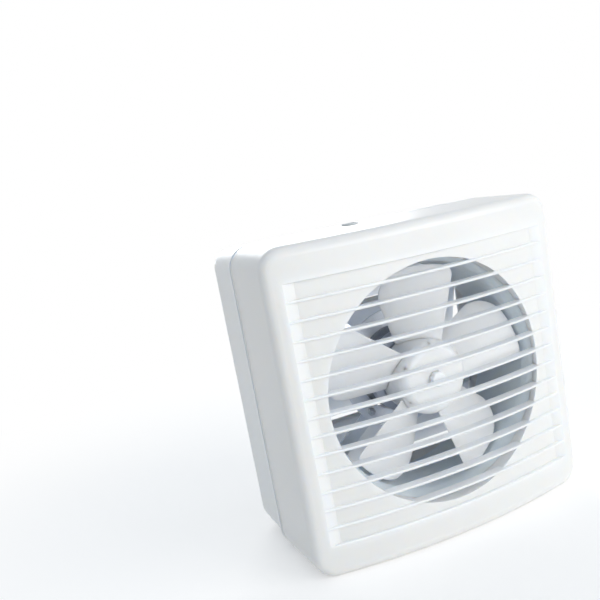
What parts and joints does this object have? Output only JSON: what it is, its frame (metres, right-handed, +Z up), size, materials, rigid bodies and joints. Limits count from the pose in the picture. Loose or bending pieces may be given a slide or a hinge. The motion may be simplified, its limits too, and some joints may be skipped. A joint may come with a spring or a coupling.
{
  "type": "window exhaust fan",
  "caption": "Window exhaust fan with a crowned, ribbed indoor cover, an axial impeller on a shaded motor, pane-clamping flanges and a hinged, linked outdoor shutter.",
  "frame": {"origin": "on the fan's axis, in the middle plane of the pane that the two flanges clamp", "axes": "+X to the right as seen from the room, +Y outdoors along the fan's axis, +Z up"},
  "size_m": [0.3, 0.1912, 0.3016],
  "materials": {
    "cover_plastic": "white moulded ABS, satin to glossy",
    "frame_plastic": "blue-grey moulded ABS inside the duct",
    "housing_plastic": "white moulded ABS, satin",
    "louvre_plastic": "pale bluish white moulded plastic",
    "impeller_plastic": "white moulded polypropylene",
    "seal_rubber": "grey foam rubber and bushes",
    "motor_casting": "die-cast, painted dark grey",
    "core_steel": "stacked steel laminations",
    "coil_enamel": "enamelled copper windings",
    "bright_steel": "ground steel",
    "zinc_steel": "zinc-plated pressed steel",
    "screw_steel": "zinc-plated screws",
    "terminal_plastic": "off-white moulded plastic",
    "terminal_brass": "brass and plated screws",
    "capacitor_case": "black moulded case"
  },
  "bodies": {
    "housing": {"bracket_screws": "screw_steel", "cable_grommet": "seal_rubber", "capacitor": "capacitor_case", "capacitor_strap": "zinc_steel", "clamp_screws": "screw_steel", "cord_clamp": "terminal_plastic", "cover_screws": "screw_steel", "front_bearing": "bright_steel", "front_cover": "cover_plastic", "inner_frame": "frame_plastic", "inner_pane_seal": "seal_rubber", "motor_bracket": "zinc_steel", "motor_front_bell": "motor_casting", "motor_grommets": "seal_rubber", "motor_rear_bell": "motor_casting", "motor_screws": "screw_steel", "outer_housing": "housing_plastic", "outer_pane_seal": "seal_rubber", "rear_bearing": "bright_steel", "stator_coils": "coil_enamel", "stator_core": "core_steel", "terminal_block": "terminal_plastic", "terminal_box": "terminal_plastic", "terminal_cover": "terminal_plastic", "terminal_screws": "terminal_brass"},
    "fan": {"impeller": "impeller_plastic", "hub_nut": "impeller_plastic", "hub_pin": "bright_steel", "motor_shaft": "bright_steel", "rotor": "core_steel"},
    "louvre_1": {"louvre_1": "louvre_plastic"},
    "louvre_2": {"louvre_2": "louvre_plastic"},
    "louvre_3": {"louvre_3": "louvre_plastic"},
    "louvre_4": {"louvre_4": "louvre_plastic"},
    "link": {"link_bar": "louvre_plastic"}
  },
  "joints": [
    {"name": "fan_spin", "type": "hinge", "parent": "housing", "child": "fan", "pos_m": [0, -0.0575, 0], "axis": [0, 1, 0], "continuous": true},
    {"name": "louvre_1_hinge", "type": "hinge", "parent": "housing", "child": "louvre_1", "pos_m": [0.0065, 0.069, 0.1206], "axis": [1, 0, 0], "range_deg": [-14, 42]},
    {"name": "louvre_2_hinge", "type": "hinge", "parent": "housing", "child": "louvre_2", "pos_m": [0.0065, 0.069, 0.0591], "axis": [1, 0, 0], "range_deg": [-14, 42]},
    {"name": "louvre_3_hinge", "type": "hinge", "parent": "housing", "child": "louvre_3", "pos_m": [0.0065, 0.069, -0.0024], "axis": [1, 0, 0], "range_deg": [-14, 42]},
    {"name": "louvre_4_hinge", "type": "hinge", "parent": "housing", "child": "louvre_4", "pos_m": [0.0065, 0.069, -0.0639], "axis": [1, 0, 0], "range_deg": [-14, 42]},
    {"name": "link_pivot", "type": "hinge", "parent": "louvre_1", "child": "link", "pos_m": [-0.1132, 0.04766, 0.10897], "axis": [1, 0, 0], "range_deg": [-42, 14]}
  ],
  "couplings": [
    {"joint": "louvre_2_hinge", "follows": "louvre_1_hinge", "ratio": 1},
    {"joint": "louvre_3_hinge", "follows": "louvre_1_hinge", "ratio": 1},
    {"joint": "louvre_4_hinge", "follows": "louvre_1_hinge", "ratio": 1},
    {"joint": "link_pivot", "follows": "louvre_1_hinge", "ratio": -1}
  ]
}
